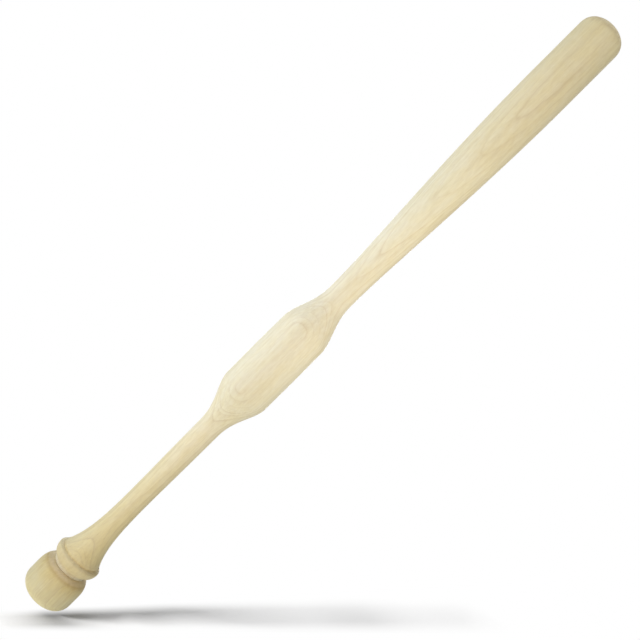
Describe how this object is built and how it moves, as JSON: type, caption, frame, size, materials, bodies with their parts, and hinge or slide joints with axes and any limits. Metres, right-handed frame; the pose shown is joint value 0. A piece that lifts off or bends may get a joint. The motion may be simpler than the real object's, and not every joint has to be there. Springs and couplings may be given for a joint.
{
  "type": "baseball training bat",
  "caption": "Turned maple baseball training bat with a counterweight bulge in front of the handle and a drum-shaped end knob.",
  "frame": {"origin": "middle of the flat end face of the end knob, on the bat's axis", "axes": "+Z along the bat towards the barrel tip; the flat-sawn face of the grain looks along -Y"},
  "size_m": [0.0568, 0.0568, 0.8381],
  "materials": {
    "pale_maple": "satin clear coat over pale maple, fine grain along the bat",
    "knob_maple": "satin clear coat over slightly darker maple",
    "zinc_steel": "zinc-plated"
  },
  "bodies": {
    "root": {"bat_billet": "pale_maple", "end_knob": "knob_maple", "dowel_screw": "zinc_steel"}
  },
  "joints": []
}
